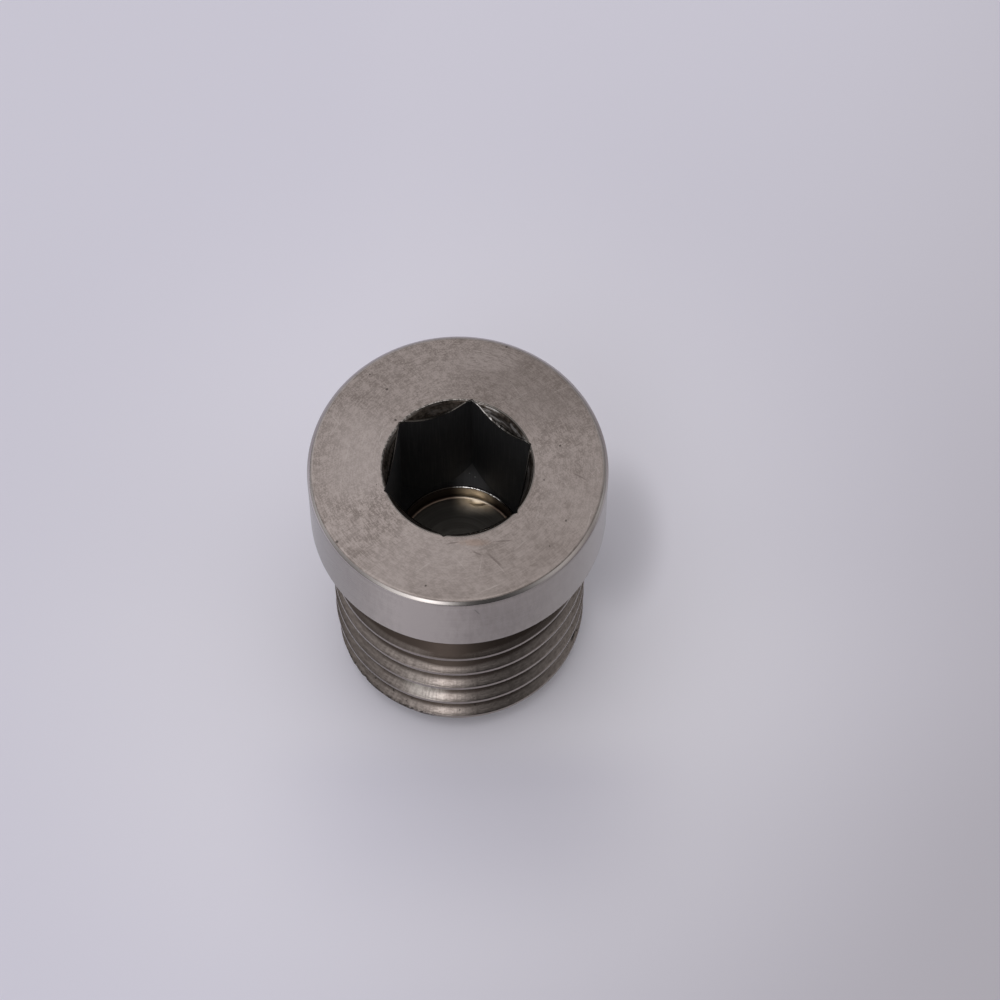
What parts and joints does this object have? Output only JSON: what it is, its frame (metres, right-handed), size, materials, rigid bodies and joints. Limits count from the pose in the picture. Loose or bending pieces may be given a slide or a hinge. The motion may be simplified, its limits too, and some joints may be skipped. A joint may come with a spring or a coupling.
{
  "type": "hex socket plug",
  "caption": "Stainless screw plug with a round flanged head, a hex socket, a thread undercut and a right-hand coarse thread, for closing a threaded port.",
  "frame": {"origin": "centre of the end face of the threaded shank, on which the plug stands", "axes": "+Z along the axis from the threaded end to the top of the head, -Y the front"},
  "size_m": [0.016, 0.016, 0.0192],
  "materials": {
    "steel": "satin turned stainless steel"
  },
  "bodies": {
    "root": {"plug": "steel"}
  },
  "joints": []
}
